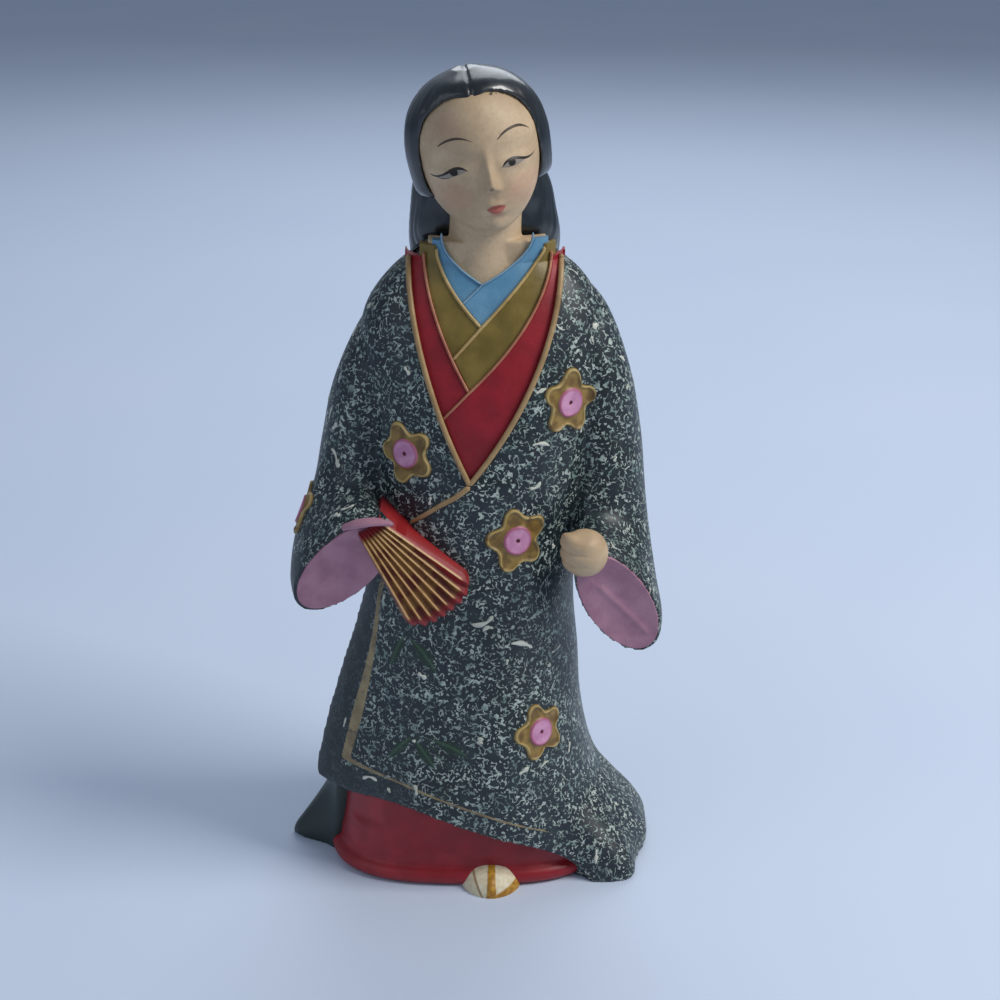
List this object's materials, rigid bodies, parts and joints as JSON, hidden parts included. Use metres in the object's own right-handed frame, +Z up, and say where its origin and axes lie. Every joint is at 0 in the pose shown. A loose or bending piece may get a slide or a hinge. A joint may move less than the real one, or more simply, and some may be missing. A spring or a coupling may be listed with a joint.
{
  "type": "geisha figurine",
  "caption": "Cast clay figurine of a standing lady in a trailing flowered robe, with layered collars, long loose hair, wide hanging sleeves and a half-open fan.",
  "frame": {"origin": "on the ground, on the flat underside below the middle of the body", "axes": "+Z up from the base to the crown; the figure faces -Y; +X is towards its left hand"},
  "size_m": [0.1111, 0.0887, 0.2394],
  "materials": {
    "painted_clay": "unglazed cast clay, hand painted: satin blue-black robe with pale flecks, red and gold collars, matte skin, glossy black hair"
  },
  "bodies": {
    "root": {"figure": "painted_clay"}
  },
  "joints": []
}
